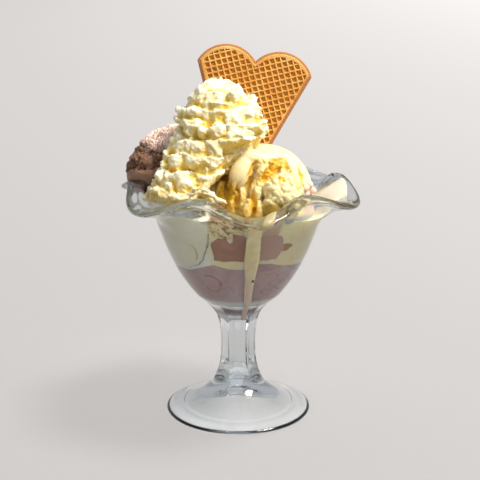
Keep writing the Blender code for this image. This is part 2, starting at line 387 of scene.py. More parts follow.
# %% Roughness for food
def rough(points, size, octaves=3, seed=0.0, gain=0.5):
    """Layered noise between about -1 and 1; its largest bumps are `size` mm across."""
    total = np.zeros(len(points))
    strength = 1.0
    for octave in range(octaves):
        scale = 2.0**octave / size
        shift = Vector((seed * 13.7 + octave * 5.1, seed * 7.3, seed * 3.1))
        layer = [noise.noise(Vector(point) * scale + shift) for point in points]
        total += strength * np.array(layer)
        strength *= gain
    return total


def crags(points, size, octaves=3, seed=0.0):
    """Ridged noise: sharp cracks at 0, rounded lumps towards 1."""
    total = np.zeros(len(points))
    strength, full = 1.0, 0.0
    for octave in range(octaves):
        scale = 2.0**octave / size
        shift = Vector((seed * 11.3, seed * 5.7 + octave * 3.3, seed * 2.9))
        layer = [abs(noise.noise(Vector(point) * scale + shift)) for point in points]
        total += strength * np.minimum(np.array(layer) * 2.4, 1.0)
        full += strength
        strength *= 0.5
    return total / full


def soft_oval(x, y, middle_x, middle_y, wide, high, power=1):
    """1 in the middle of an oval, 0 well outside; a higher power sharpens its edge."""
    return np.exp(-((((x - middle_x) / wide) ** 2 + ((y - middle_y) / high) ** 2) ** power))


# %% [markdown]
# ## What fills the bowl
#
# Through the glass one sees a mauve melt at the bottom, half-melted vanilla above it, and two
# scoops that lean on the wall. The melt and the vanilla are columns: a unit cylinder whose every
# vertex is given a share of the way to the wall and a share of the way up to a wavy top.


# %% Levels
MELT_LEVEL = 79.0
VANILLA_LEVEL = 105.0
OVERLAP = 2.0
BRIM_RADIUS = 42.0
# where the mauve melt ends on the wall, as (degrees, height)
MELT_LINE = [
    (-180, 78), (-75, 79), (-46, 80.5), (-30, 83.5), (-21, 85.3), (-8, 83.4), (10, 83.2),
    (17, 86.0), (28, 85.5), (41, 83.2), (70, 81), (180, 78),
]


def melt_top(turn, share):
    """Where the mauve melt ends: along its line on the wall, level in the middle."""
    at_wall = np.interp(np.degrees(turn), *np.transpose(MELT_LINE))
    return MELT_LEVEL + (at_wall - MELT_LEVEL) * share**3


def vanilla_top(turn, share):
    """Where the half-melted vanilla ends, with a pool that stands high at the right."""
    radius = BRIM_RADIUS * share
    x, y = radius * np.sin(turn), -radius * np.cos(turn)
    pool = 1.5 * soft_oval(x, y, 44, -5, 10, 12)
    front = soft_oval(x, y, 4, -40, 26, 10)
    smear = np.exp(-(((np.degrees(turn) - 88) / 16) ** 4)) * clipped((share - 0.88) / 0.12)
    ripple = 0.6 * np.sin(2 * turn + 1) * share
    return VANILLA_LEVEL + 6.5 * pool + 6.0 * front + 7.0 * smear + ripple


def beside(points, line):
    """How far left of a line of (height, degrees) on the wall each point lies, in mm."""
    turn = np.degrees(turn_of(points))
    limit = np.interp(points[:, 2], *np.transpose(line))
    return (limit - turn) * np.radians(1) * np.hypot(points[:, 0], points[:, 1])


def spot(points, turn, height, half_turn, half_height, power=2):
    """1 in the middle of an oval on the wall (degrees, mm), 0 on its edge, negative beyond."""
    across = (np.degrees(turn_of(points)) - turn) / half_turn
    up = (points[:, 2] - height) / half_height
    return 1 - (np.abs(across) ** power + np.abs(up) ** power) ** (1 / power)


SIDE_RINGS = 60
CAP_RINGS = 9
SEGMENTS = 220


def column(low, high, reach):
    """A filled column between two height functions, against the bowl's wall."""
    work = bmesh.new()
    bmesh.ops.create_cone(work, cap_ends=True, segments=SEGMENTS, radius1=1, radius2=1, depth=1)
    sides = [edge for edge in work.edges if abs(edge.verts[0].co.z - edge.verts[1].co.z) > 0.5]
    bmesh.ops.subdivide_edges(work, edges=sides, cuts=SIDE_RINGS)
    for _ in range(CAP_RINGS):
        caps = [face for face in work.faces if len(face.verts) > 8]
        bmesh.ops.inset_region(work, faces=caps, thickness=0.1)
    points = coordinates(work)
    turn = turn_of(points)
    share = clipped(np.hypot(points[:, 0], points[:, 1]))
    up = points[:, 2] + 0.5
    height = low(turn, share) * (1 - up) + high(turn, share) * up
    radius = share * (wall_radius(turn, height) + reach)
    place(work, np.column_stack([radius * np.sin(turn), -radius * np.cos(turn), height]))
    return work


# %% [markdown]
# Ice cream is scattering: light enters, wanders and comes out tinted. The Principled shader's
# subsurface does this, with a radius of a few millimetres, more for red than for blue. Colours
# vary over a few millimetres, because the flavours have run into each other.


# %% Ice cream materials
def dairy(name, colours, spread=12.0, depth=0.0025, wet=0.35, grain=0.0):
    """Ice cream whose colour wanders between the given stops, over `spread` millimetres.

    depth is how far light wanders inside, in metres, and wet is the surface's roughness.
    The colour is given back for `paint` to tint and to link.
    """
    material, tree, shader = new_material(
        name,
        Roughness=wet,
        IOR=1.35,
        Subsurface_Weight=0.6,
        Subsurface_Radius=(1.0, 0.85, 0.6),
        Subsurface_Scale=depth,
    )
    where = add(tree, "ShaderNodeTexCoord").outputs["Object"]
    patches = {"Vector": where, "Scale": 1000 / spread, "Detail": 4.0, "Distortion": 1.5}
    cloud = add(tree, "ShaderNodeTexNoise", patches).outputs["Fac"]
    colour = add(tree, "ShaderNodeValToRGB", {"Fac": cloud}, colours).outputs["Color"]
    if grain:
        ice = add(tree, "ShaderNodeTexNoise", {"Vector": where, "Scale": 1400.0, "Detail": 3.0})
        icy = {"Height": ice.outputs["Fac"], "Strength": grain, "Distance": BUMP_DEPTH}
        bump = add(tree, "ShaderNodeBump", icy)
        tree.links.new(bump.outputs["Normal"], shader.inputs["Normal"])
    return material, tree, shader, colour


def speckled(tree, size, share, colour, ground):
    """Small dots of a colour on a ground, `size` mm apart; share is how much they cover."""
    where = add(tree, "ShaderNodeTexCoord").outputs["Object"]
    cell = add(tree, "ShaderNodeTexVoronoi", {"Vector": where, "Scale": 1000 / size})
    dots = {"Value": cell.outputs["Distance"], "From Min": share, "From Max": share * 0.6}
    cover = add(tree, "ShaderNodeMapRange", dots).outputs["Result"]
    inputs = {"Factor": cover, 6: ground, 7: colour}
    return add(tree, "ShaderNodeMix", inputs, data_type="RGBA").outputs[2]


# %% The mauve melt
melt_look, tree, shader, cloud = dairy(
    "melted chocolate and vanilla ice cream",
    [(0.25, "#b08f88"), (0.45, "#c3a39d"), (0.6, "#c8ada8"), (0.8, "#d0bab3")],
    spread=16.0,
    wet=0.3,
)
# the near-white skin tint is painted light: the melt's flat bottom, which no lamp reaches, is
# painted pale
tints = [("skin", 0, 1, "#faf6f0"), ("vein", 0, 1.6, "#7d544c"), ("blush", 0, 1, "#c99a92")]
paint(tree, shader, cloud, tints)


def melt_floor(turn, share):
    return np.full(len(turn), FLOOR)


work = column(melt_floor, melt_top, REACH["mauve melt"])
points = coordinates(work)
swirl = points + 3.5 * np.column_stack([rough(points, 14.0, 2, seed) for seed in (31, 32, 33)])
hook = np.abs(spot(points, -28, 74.5, 11, 4.2)) < 0.09
hook &= (np.degrees(turn_of(points)) > -32) & (points[:, 2] > 73)
under_blush = (np.abs(spot(points, -27, 72.6, 8, 2.6)) < 0.12) & (points[:, 2] < 72.6)
marbling = 0.5 * clipped(1 - crags(swirl, 17.0, 1, 34) / 0.06)
vein = np.maximum((hook | under_blush) * 1.0, marbling)
sheared = points * (1, 1, 0.5) + points[:, 2:] * 0.7
streaks = clipped(1 - np.abs(rough(sheared, 9.0, 2, 36)) / 0.07)
vein = np.maximum(vein, 0.8 * streaks * (turn_of(points) > 0.4) * (turn_of(points) < 1.2))
blush = clipped(spot(points, -27, 72.8, 6.5, 2.0) * 4)
# painted light: the lowest 3.4 mm of the melt, its unlit bottom, is painted near-white
skin = clipped((FLOOR + 3.4 - points[:, 2]) / 1.6)
values = {"vein": vein, "blush": blush, "skin": skin}
finish("mauve_melt", work, melt_look, ["lower_melt"], values, in_bowl=True)

# %% The half-melted vanilla
vanilla_melt_look, tree, shader, cloud = dairy(
    "half-melted vanilla ice cream",
    [(0.3, "#f0dda4"), (0.5, "#f7e9ba"), (0.75, "#faf1ce")],
    spread=10.0,
    wet=0.3,
)
where = add(tree, "ShaderNodeTexCoord").outputs["Object"]
bits = add(tree, "ShaderNodeTexNoise", {"Vector": where, "Scale": 420.0, "Detail": 2.0})
stops = [(0.38, "#8f7038"), (0.47, "#dcc585"), (0.62, "#efe2b4")]
lumpy = add(tree, "ShaderNodeValToRGB", {"Fac": bits.outputs["Fac"]}, stops).outputs["Color"]
tints = [
    ("pale", 0, 1, "#f4f0e0"),
    # the greyer smear tint is painted shade: the vanilla's top near the rim, lit directly by the
    # lamp, is painted darker, except at the front
    ("smear", 0, 1, "#c2baa6"),
    ("blush", 0, 1, "#d2b68e"),
    ("custard", 0, 1, speckled(tree, 2.6, 0.16, "#4a2f1c", lumpy)),
]
paint(tree, shader, cloud, tints)


def under_vanilla(turn, share):
    return melt_top(turn, share) - OVERLAP


work = column(under_vanilla, vanilla_top, REACH["half-melted vanilla"])
points = coordinates(work)
degrees = np.degrees(turn_of(points))
values = {
    "custard": clipped(spot(points, -7, 107, 14, 7.5, 4) * 5),
    "pale": clipped((-20 - degrees) * 0.2) * clipped((degrees + 165) / 40),
    "blush": clipped(spot(points, 22, 107.5, 8, 8.5, 4) * 6),
    # painted shade: above 106 mm, away from the front, the top is painted greyer
    "smear": clipped((points[:, 2] - 106) / 2.5) * (np.abs(turn_of(points) - 0.1) > 0.35),
}
finish("vanilla_fill_look", work, vanilla_melt_look, ["vanilla_fill"], values, in_bowl=True)


# %% [markdown]
# Two scoops lean on the wall. Each shows through the glass only where it is pressed flat against
# it, so each gets an outline on the wall: inside it the scoop reaches into the glass, and beyond
# it the scoop draws back behind the half-melted vanilla.

# %% Scoops behind the glass
def ball(centre, radii, fineness=6):
    """A fine ball; returns the bmesh, its directions and its centre and radii as arrays."""
    work = bmesh.new()
    bmesh.ops.create_icosphere(work, subdivisions=fineness, radius=1.0)
    return work, coordinates(work), np.array(centre, float), np.array(radii, float)


def leaning_scoop(name, place_and_size, squareness, inside, reach, look, replaces, seed, tints):
    """A scoop pressed flat on the wall; inside gives how far within its outline a point is."""
    work, aim, centre, radii = ball(*place_and_size)
    aim = aim / (np.abs(aim) ** squareness).sum(axis=1, keepdims=True) ** (1 / squareness)
    points = centre + aim * (radii + 1.2 * rough(aim * radii, 11.0, 3, seed)[:, None])
    edge = inside(points) + 0.5 * rough(points, 3.5, 3, seed + 5)
    points = press_on_wall(points, np.clip(edge * 1.6, -1, 1) * (reach + 0.8) - 0.8)
    points[:, 2] = np.maximum(points[:, 2], FLOOR + 1)
    place(work, points)
    # edge also carries a painted shade: each scoop is painted darker along and beyond its outline
    # on the wall, as the shade in the gap where it draws back
    finish(name, work, look, replaces, {"edge": edge, **tints(points)}, in_bowl=True)


# %% The cream ice scoop
# its middle and half sizes; then where it ends on the wall, as (height, degrees)
WHITE = ((-25, -12, 97), (26, 26, 19))
WHITE_SIDE = [
    (78, -80), (81.5, -46), (84.5, -33), (88, -27), (94.4, -21.5), (102.8, -18), (110.9, -19),
    (118, -24),
]
YELLOW_STREAK = [(86.5, -36), (88.5, -33.6), (91, -32.8), (93.5, -34.2), (95, -37)]


def white_inside(points):
    return beside(points, WHITE_SIDE)


def white_tints(points):
    near = np.abs(beside(points, YELLOW_STREAK)) / 0.45
    return {"streak": clipped(1.4 - near) * (np.abs(points[:, 2] - 90.8) < 4.2)}


cream_ice, tree, shader, cloud = dairy(
    "cream ice against the glass",
    [(0.25, "#e6dfc0"), (0.5, "#ede6cc"), (0.7, "#f1ead4"), (0.85, "#ebdca0")],
    spread=14.0,
    wet=0.35,
)
# the edge tint is painted shade along the cream ice's outline on the wall
paint(tree, shader, cloud, [("streak", 0, 1, "#cdbb62"), ("edge", 2.0, 0.5, "#8a6e50")])
leaning_scoop(
    "cream_ice_scoop",
    WHITE,
    squareness=3,
    inside=white_inside,
    reach=REACH["cream ice"],
    look=cream_ice,
    replaces=["white_scoop"],
    seed=1,
    tints=white_tints,
)

# %% The sunken chocolate scoop
# where it ends on the wall: its top as (degrees, height), its right side as (height, degrees)
SUNKEN = ((5, -19, 95), (32, 28, 14))
SUNKEN_TOP = [
    (-24, 95.5), (-20, 97.6), (-17, 99.2), (-13.5, 101.0), (-11, 100.2), (-9, 102.6), (-7.2, 102.0),
    (-6.2, 98.0), (-4.8, 98.2), (-3.6, 103.2), (2, 103.4), (6, 102.0), (16, 102.0), (26, 101.8),
    (31, 100.6), (34, 98.6),
]
SUNKEN_RIGHT = [(84, 27), (88, 33), (92, 35.5), (99, 34.5), (104, 33)]


def sunken_inside(points):
    turn = np.degrees(turn_of(points))
    top = np.interp(turn, *np.transpose(SUNKEN_TOP)) - points[:, 2]
    left = (turn + 20.5) * 0.6
    main = np.minimum.reduce([left, top, points[:, 2] - 87.2, beside(points, SUNKEN_RIGHT)])
    tongue = 2.4 * spot(points, 37, 93.6, 8.5, 2.5)
    return np.maximum(main, tongue)


def sunken_tints(points):
    turn = np.degrees(turn_of(points))
    return {"right": clipped((turn - 6) / 10), "tongue": clipped((turn - 34.5) / 2.5)}


chocolate_ice, tree, shader, cloud = dairy(
    "chocolate ice against the glass",
    [(0.3, "#a57359"), (0.55, "#b28064"), (0.8, "#bc8f75")],
    spread=12.0,
    wet=0.3,
)
# the edge tint is painted shade along the chocolate's outline on the wall
tints = [("right", 0, 1, "#cba692"), ("tongue", 0, 1, "#b08a58"), ("edge", 0.7, 0.3, "#8d6a44")]
paint(tree, shader, cloud, tints)
leaning_scoop(
    "sunken_chocolate_look",
    SUNKEN,
    squareness=2,
    inside=sunken_inside,
    reach=REACH["chocolate ice"],
    look=chocolate_ice,
    replaces=["sunken_chocolate_scoop"],
    seed=2,
    tints=sunken_tints,
)

# %% [markdown]
# ## A drip down the outside
#
# Melted vanilla has run from the torn scoop over the lip and down the bowl to the stem. It is a
# long thin ball laid along the glass's outline: so far down the outline from the crest, so far
# across from the middle, so wide and so thick. A vanilla seed has stuck in it.

# %% The drip
# along the outline from the crest, across, half width, thickness
DRIP = [
    (0, 14.5, 2.6, 0.9),
    (6, 13.0, 2.8, 1.1),
    (12, 10.5, 3.4, 1.1),
    (20, 8.6, 3.8, 1.0),
    (28, 7.8, 3.4, 1.0),
    (44, 6.2, 3.7, 0.9),
    (56, 5.9, 2.3, 1.0),
    (68, 4.6, 1.9, 1.0),
    (84, 3.6, 1.4, 0.9),
    (91, 3.3, 1.2, 0.9),
]


def on_outline(along, across, out):
    """Points this far down the outside, across from the middle and out from the glass."""
    line = outside_line[::-1]
    reach = np.concatenate([[0], np.cumsum(np.linalg.norm(np.diff(line, axis=0), axis=1))])
    radius, height = (np.interp(along, reach, line[:, i]) for i in (0, 1))
    slope = np.gradient(line, reach, axis=0)
    lean_r, lean_z = (np.interp(along, reach, slope[:, i]) for i in (0, 1))
    radius, height = radius - lean_z * out, height + lean_r * out
    return np.column_stack([across, -np.sqrt(np.maximum(radius**2 - across**2, 0)), height])


work = bmesh.new()
bmesh.ops.create_uvsphere(work, u_segments=32, v_segments=160, radius=1.0)
aim = coordinates(work)
along = (1 - aim[:, 2]) / 2 * DRIP[-1][0]
middle, half, thick = (np.interp(along, *np.array(DRIP)[:, (0, i)].T) for i in (1, 2, 3))
round_end = np.sqrt(clipped(1 - aim[:, 2] ** 2))
around = np.arctan2(aim[:, 1], aim[:, 0])
closing = clipped(round_end * 5)
across = middle + half * closing * np.cos(around) + 0.25 * np.sin(along / 5.3)
out = np.where(aim[:, 1] > 0, thick * closing * np.sin(around), -0.15)
place(work, bend_lip(on_outline(along, across, out)))
film, tree, shader, cloud = dairy(
    "thin melted vanilla",
    [(0.3, "#cabc8c"), (0.6, "#d5c99e"), (0.8, "#dcd1ac")],
    spread=9.0,
    wet=0.25,
)
# the lip tint is painted light and shade: the drip's top, on the lit lip, is painted darker than
# the run below it, which lies in shade
paint(tree, shader, cloud, [("run", 0, 1, "#b5a399"), ("lip", 0, 1, "#aea27c")])
values = {"run": clipped((along - 40) / 35), "lip": clipped((19 - along) / 4)}
finish("vanilla_drip", work, film, values=values)

# %% The seed in it
work = bmesh.new()
bmesh.ops.create_icosphere(work, subdivisions=3, radius=0.6)
bmesh.ops.scale(work, vec=(0.9, 0.6, 1.3), verts=work.verts)
stuck_at = on_outline(np.array([56.0]), np.array([7.0]), np.array([1.0]))[0]
bmesh.ops.translate(work, verts=work.verts, vec=stuck_at)
seed_coat, tree, shader = new_material("vanilla seed", Base_Color="#2c1a12", Roughness=0.4)
finish("seed_in_drip", work, seed_coat)

# %% [markdown]
# ## The scoops on top
#
# A scoop is a ball with a history: the spoon leaves a smooth skin, the skin tears, and lumps of
# the torn inside stand out or hang down. These are listed as seen from the ball's front: so many
# millimetres across, up and near, seen from its middle. The ball and its lumps are remeshed into
# one skin, and cracks and grain are laid over that by noise.


# %% Sculpting from the front
FRONT_TILT = math.radians(15.6)
FRONT = np.array(
    [
        (1, 0, 0),
        (0, math.sin(FRONT_TILT), math.cos(FRONT_TILT)),
        (0, -math.cos(FRONT_TILT), math.sin(FRONT_TILT)),
    ]
)


def add_lumps(work, centre, lumps):
    """Ellipsoids (across, up, near, three half sizes, roll in degrees) seen from the front."""
    for across, up, near, wide, high, deep, roll in lumps:
        middle = Vector(centre) + Vector(np.array((across, up, near)) @ FRONT)
        turned = Matrix(FRONT.T).to_4x4() @ Matrix.Rotation(math.radians(roll), 4, "Z")
        where = Matrix.Translation(middle) @ turned @ Matrix.Diagonal((wide, high, deep, 1))
        bmesh.ops.create_icosphere(work, subdivisions=4, radius=1.0, matrix=where)


def facing(near):
    """1 on the side that faces the front, 0 from the ball's middle backwards."""
    return clipped(near / 6)


def hollows(across, up, near, marks):
    """Sum of dents (across, up, half width, half height, millimetres deep) on the front."""
    depth = np.zeros(len(across))
    for *oval, deep in marks:
        depth += deep * soft_oval(across, up, *oval, power=2)
    return depth * facing(near)


def remeshed(work, voxel):
    """Joins all that is in the bmesh into one closed skin; gives its points and normals too."""
    bmesh.ops.recalc_face_normals(work, faces=work.faces)
    helper = as_object("remesh", work)
    step = helper.modifiers.new("one skin", "REMESH")
    step.mode = "VOXEL"
    step.voxel_size = voxel
    graph = bpy.context.evaluated_depsgraph_get()
    skin = bpy.data.meshes.new_from_object(helper.evaluated_get(graph))
    made = bmesh.new()
    made.from_mesh(skin)
    bpy.data.objects.remove(helper)
    bpy.data.meshes.remove(skin)
    made.normal_update()
    made.verts.index_update()
    return made, coordinates(made), np.array([vertex.normal[:] for vertex in made.verts])


def neighbours_mean(work, points, rounds):
    """Smooths points by moving each towards the mean of its neighbours, some rounds."""
    pairs = np.array([(edge.verts[0].index, edge.verts[1].index) for edge in work.edges])
    count = np.bincount(pairs.ravel(), minlength=len(points))[:, None]
    for _ in range(rounds):
        total = np.empty_like(points)
        for axis in range(3):
            total[:, axis] = np.bincount(pairs[:, 0], points[pairs[:, 1], axis], len(points))
            total[:, axis] += np.bincount(pairs[:, 1], points[pairs[:, 0], axis], len(points))
        points = 0.5 * points + 0.5 * total / count
    return points


def fold_depth(work, points, normals, rounds):
    """How deep each point lies below the smoothed surface: folds and pits are positive."""
    return ((neighbours_mean(work, points, rounds) - points) * normals).sum(axis=1)


# %% [markdown]
# The chocolate scoop is flattened at its upper left. It is crumbly above, with a smooth patch,
# and ends below in a smooth band that the spoon's edge pressed. Frost and painted light make its
# upper right pinkish-light, and painted shade darkens its folds and its lower part.

# %% The chocolate scoop
SCOOP_VOXEL = 0.4
CHOCOLATE = ((-29, 10, 118), (26.2, 24.8, 25.8))
CHOCOLATE_HOLLOWS = [
    (-19, 19.5, 12, 9, 4.6),
    (-15.5, 7, 4.5, 5.5, 1.6),
    (-18, 4, 9.5, 1.6, 1.2),
    (-18, -4.5, 9, 3.5, 2.6),
]


def chocolate_ball():
    centre, radii = CHOCOLATE
    work, aim, *_ = ball(*CHOCOLATE, 5)
    place(work, centre + aim * radii)
    work, points, normals = remeshed(work, SCOOP_VOXEL)
    across, up, near = ((points - centre) @ FRONT.T).T
    lower = clipped((3.0 - up) / 1.5)
    patch = soft_oval(across, up, -15.5, 7, 2.6, 4.6, power=3)
    smooth = np.maximum(lower, patch)
    crumbs = 2.0 * crags(points, 4.0, 3, 4) + 0.8 * rough(points, 1.7, 2, 9) - 1.1
    lift = 0.7 * rough(points, 14.0, 2, 3) - hollows(across, up, near, CHOCOLATE_HOLLOWS)
    lift += (1 - smooth) * crumbs + smooth * 0.3 * rough(points, 4.0, 2, 5)
    points = points + normals * lift[:, None]
    points = press_on_wall(points, REACH["scoops on top"])
    place(work, points)
    # frost and painted light: the upper right, the side towards the key lamp, is painted
    # pinkish-light
    frost_and_painted_light = clipped((up + 0.45 * across - 6) / 9) * (1 - smooth)
    # fold also drives a painted shade: the material paints folds and pits dark brown
    fold = fold_depth(work, points, normals, 12)
    # painted shade: the scoop's lower part, under the ball, is painted near-black
    deep = clipped((-3.0 - up) / 3.5)
    return work, {"frost_and_painted_light": frost_and_painted_light, "fold": fold, "crumbly": 1 - smooth, "deep": deep}


# %% Churned chocolate ice cream
chocolate_look, tree, shader, cloud = dairy(
    "churned chocolate ice cream",
    [(0.25, "#866650"), (0.5, "#a07a60"), (0.75, "#b0886c")],
    spread=6.0,
    depth=0.0004,
    wet=0.45,
    grain=0.5,
)
where = add(tree, "ShaderNodeTexCoord").outputs["Object"]
crumb = add(tree, "ShaderNodeTexNoise", {"Vector": where, "Scale": 620.0, "Detail": 2.0})
stops = [(0.4, "#22110a"), (0.5, "#4a2a18"), (0.62, "#946242")]
pitted = add(tree, "ShaderNodeValToRGB", {"Fac": crumb.outputs["Fac"]}, stops).outputs["Color"]
tints = [
    ("crumbly", 0, 1 / 0.7, pitted),
    # partly real frost, partly painted light on the side towards the lamp
    ("frost_and_painted_light", 0.1, 0.8, "#fcdccc"),
    # painted shade: folds and pits are painted darker by how deep they lie
    ("fold", 0.05, 0.55, "#2c170c"),
    # painted shade on the scoop's lower part
    ("deep", 0, 1, "#2a1a10"),
]
paint(tree, shader, cloud, tints)
work, values = chocolate_ball()
finish("churned_chocolate_scoop", work, chocolate_look, ["chocolate_scoop"], values)

# %% [markdown]
# The vanilla scoop keeps its smooth skin at the top and right. Its front is torn open: a flap
# hangs at the left, deep clefts run down beside it, and a crumbly lump leans out over the rim.

# %% The vanilla scoop
VANILLA = ((12, -9, 113), (24.6, 24.2, 25.0))
VANILLA_HOLLOWS = [
    (-1.5, 3, 21, 13.5, 5.0),
    (-16, 14, 4.5, 8, 4.0),
]
# across, up, near, three half sizes, roll
VANILLA_LUMPS = [
    (-10.6, 10.4, 18.4, 5.2, 8.6, 4.6, -22),
    (-5.5, 16.6, 15.6, 9.0, 5.0, 5.4, -14),
    (-13.6, 5.2, 18.0, 3.2, 5.6, 3.4, -12),
    (-1.6, 8.8, 19.6, 2.2, 6.6, 3.0, -30),
    (-3.2, 1.8, 20.0, 3.2, 6.6, 3.2, -10),
    (-7.0, -6.0, 21.0, 2.4, 4.4, 3.2, -14),
    (-2.0, -7.2, 21.6, 2.0, 4.6, 3.0, 12),
    (-10.6, -1.0, 17.8, 2.6, 6.6, 3.4, 6),
    (-14.8, -4.0, 16.0, 3.2, 7.0, 4.0, -4),
    (-19.0, -2.0, 12.6, 3.8, 9.0, 4.4, 4),
    (-23.0, 3.0, 6.0, 3.5, 8.0, 4.5, 8),
    (7.4, 3.4, 22.4, 7.6, 6.6, 5.0, 24),
    (9.4, -1.0, 23.6, 7.6, 5.6, 5.0, -8),
    (4.6, -6.2, 22.4, 5.2, 6.6, 4.8, 10),
    (10.0, -8.0, 20.6, 5.2, 5.5, 4.6, -20),
    (14.4, 4.6, 17.8, 3.6, 7.4, 3.6, 14),
    (4.2, 15.0, 17.6, 1.6, 1.3, 2.2, 10),
    (8.4, 13.4, 18.4, 1.7, 1.5, 2.2, 0),
    (19.5, 3.4, 13.2, 2.1, 1.7, 2.0, 0),
    (22.0, 5.0, 9.6, 1.7, 1.6, 1.7, 0),
    (23.4, 2.4, 8.0, 2.0, 1.5, 1.7, -20),
]
# clefts seen from the front: across, up, half length, half width, roll, deep
CLEFTS = [
    (2.8, 10.2, 8.0, 2.4, 38, 1.2),
    (6.4, 15.6, 5.0, 1.5, 8, 1.2),
    (10.8, 14.2, 3.6, 1.4, -72, 1.0),
    (5.8, 14.2, 3.0, 2.0, 0, 1.2),
    (-5.2, 12.4, 5.0, 1.0, 62, 0.8),
    (-6.6, 5.6, 3.6, 1.2, 72, 0.8),
    (-12.2, -0.6, 5.5, 1.1, 84, 1.6),
    (-4.8, -4.4, 6.2, 1.6, 88, 0.8),
    (-17.2, -2.0, 6.0, 0.9, 96, 0.8),
    (-18.6, 13.0, 7.0, 2.6, 80, 0.0),
    (17.6, 8.6, 5.0, 1.1, 100, 0.9),
    (8.4, 7.0, 2.6, 1.3, -28, 0.8),
]


def rolled_ovals(across, up, ovals):
    """How far inside each rolled oval a spot lies: 1 in its middle, 0 well outside."""
    inside = []
    for middle_x, middle_y, long, wide, roll, _ in ovals:
        turn = math.radians(roll)
        x, y = across - middle_x, up - middle_y
        along = x * math.cos(turn) + y * math.sin(turn)
        aside = y * math.cos(turn) - x * math.sin(turn)
        inside.append(soft_oval(along, aside, 0, 0, long, wide, power=1.5))
    return np.array(inside)


def vanilla_ball():
    centre, radii = VANILLA
    work, aim, *_ = ball(*VANILLA, 6)
    points = centre + aim * radii
    across, up, near = ((points - centre) @ FRONT.T).T
    depth = hollows(across, up, near, VANILLA_HOLLOWS)
    place(work, points - aim * depth[:, None])
    add_lumps(work, centre, VANILLA_LUMPS)
    work, points, normals = remeshed(work, SCOOP_VOXEL)
    across, up, near = ((points - centre) @ FRONT.T).T
    away = ((across + 0.5) / 20.5) ** 2 + ((up - 2.0) / 15.0) ** 2
    torn = clipped((1.06 - away) / 0.2) * facing(near)
    flap = soft_oval(across, up, -10.5, 10.5, 6.4, 9.0, power=3)
    heel = clipped((-3.0 - up) / 3) * np.exp(-((((across - 5) / 6) ** 2) ** 2))
    crumbly = soft_oval(across, up, 7, 4, 12, 12, power=3)
    torn *= (1 - 0.9 * flap) * (1 - 0.8 * heel)
    warp_x, warp_y = (0.9 * rough(points, 4.0, 2, seed) for seed in (41, 42))
    clefts = rolled_ovals(across + warp_x, up + warp_y, CLEFTS) * facing(near)
    # the left region is partly the melt's own streaks, partly painted shade under the cream's
    # overhang
    left = soft_oval(across, up, -17, -1, 7, 12, power=2) * (1 - flap)
    lift = 0.5 * rough(points, 18.0, 2, 6) - (clefts * np.array(CLEFTS)[:, 5:]).max(axis=0)
    coarse = 1.8 * crags(points, 4.2, 3, 7) - 0.9 + 0.3 * rough(points, 2.0, 2, 8)
    lift += torn * (0.65 + 0.35 * crumbly) * coarse
    points = points + normals * lift[:, None]
    points = press_on_wall(points, REACH["scoops on top"])
    place(work, points)
    streaks = points * np.array((1.0, 1.0, 0.25))
    values = {
        "torn": torn * crumbly,
        "smooth": torn * (1 - crumbly),
        # painted reflection: below 109 mm, behind the glass's lip, the vanilla is painted grey like
        # the lip's grey reflection
        "film": clipped((109.0 - points[:, 2]) / 1.5),
        # painted shade: clefts are painted amber and folds yellow, by how deep they lie
        "cleft": clefts.max(axis=0),
        "fold": fold_depth(work, points, normals, 40),
        "left": left * (0.55 + 0.8 * rough(streaks, 3.0, 2, 43)),
        "shade": heel * facing(near),
        "crumbs": clipped((across - 17.5) / 1.5) * clipped((7.0 - up) / 1.5),
    }
    return work, values


# %% Torn vanilla ice cream
vanilla_look, tree, shader, cloud = dairy(
    "torn vanilla ice cream",
    [(0.25, "#eddaa4"), (0.5, "#f0e0b0"), (0.75, "#f2e4b8")],
    spread=11.0,
    depth=0.002,
    wet=0.4,
    grain=0.25,
)
tints = [
    ("torn", 0, 1, "#f4e4ae"),
    ("smooth", 0, 1, "#e6cf8a"),
    ("shade", 0, 0.8, "#9a8230"),
    ("crumbs", 0, 1, "#ecd0b8"),
    # left: amber streaks, partly painted shade under the cream
    ("left", 0, 0.6, "#be9622"),
    # fold and cleft are painted shade: yellow and amber for the shade and bounced light in them
    ("fold", 0.2, 1.5, "#d8ae44"),
    ("cleft", 0.05, 0.7, "#deb038"),
    # the film tint is a painted reflection of the glass's lip, not a film of melt
    ("film", 0, 1, "#b4b8b4"),
]
paint(tree, shader, cloud, tints)
work, values = vanilla_ball()
finish("torn_vanilla_scoop", work, vanilla_look, ["vanilla_scoop"], values)

# %% [markdown]
# ## The whipped cream
#
# Cream from a siphon comes out as a rope with a star-shaped section, and folds up on itself as it
# is laid. Here the same is done: short ropes are laid round a leaning heap, each from one angle
# to another and from one height to another. Ropes and core are then remeshed into one skin, which
# gets torn crests, and pits where bubbles have burst.

# %% The heap and its ropes
# the heap's middle line and its radius: across, away from the front, up, radius
CREAM_LINE = [
    (-27, -22, 104, 12.0),
    (-27, -23, 110, 15.5),
    (-25.5, -23, 118, 15.2),
    (-21.5, -19, 130, 15.5),
    (-12, -12, 138, 19.5),
    (-7, -8, 145, 21.5),
    (-8.5, -7, 153, 19.0),
    (-11, -6, 159, 13.5),
    (-10.5, -5, 163, 7.5),
    (-8.5, -5, 165.5, 2.0),
]
# from height, to height, from angle, to angle (0 is the front, 90 the right), radius, out
ROPES = [
    (166, 150, 60, 92, 4.0, -0.6),
    (163, 155, -55, 30, 3.6, -0.4),
    (157, 144, 20, 82, 5.0, 0.0),
    (152, 149, -110, -35, 4.2, -0.4),
    (162, 160, 110, 240, 4.5, 0.0),
    (153, 149, 100, 250, 6.0, 0.0),
    (144, 143, 100, 250, 6.0, 0.0),
    (144, 140, -120, -62, 4.2, -1.6),
    (137, 136, -120, -55, 4.4, -1.8),
    (131, 129, -120, -60, 4.6, -2.0),
    (130, 130, 16, 60, 4.0, 0.2),
    (124, 123, -115, -50, 4.8, -1.0),
    (117, 118, -115, -8, 4.2, 1.1),
    (125, 117, 4, 62, 2.2, 0.8),
    (121, 112, -10, 50, 4.0, -0.8),
    (128, 128, 110, 240, 6.0, 0.0),
]
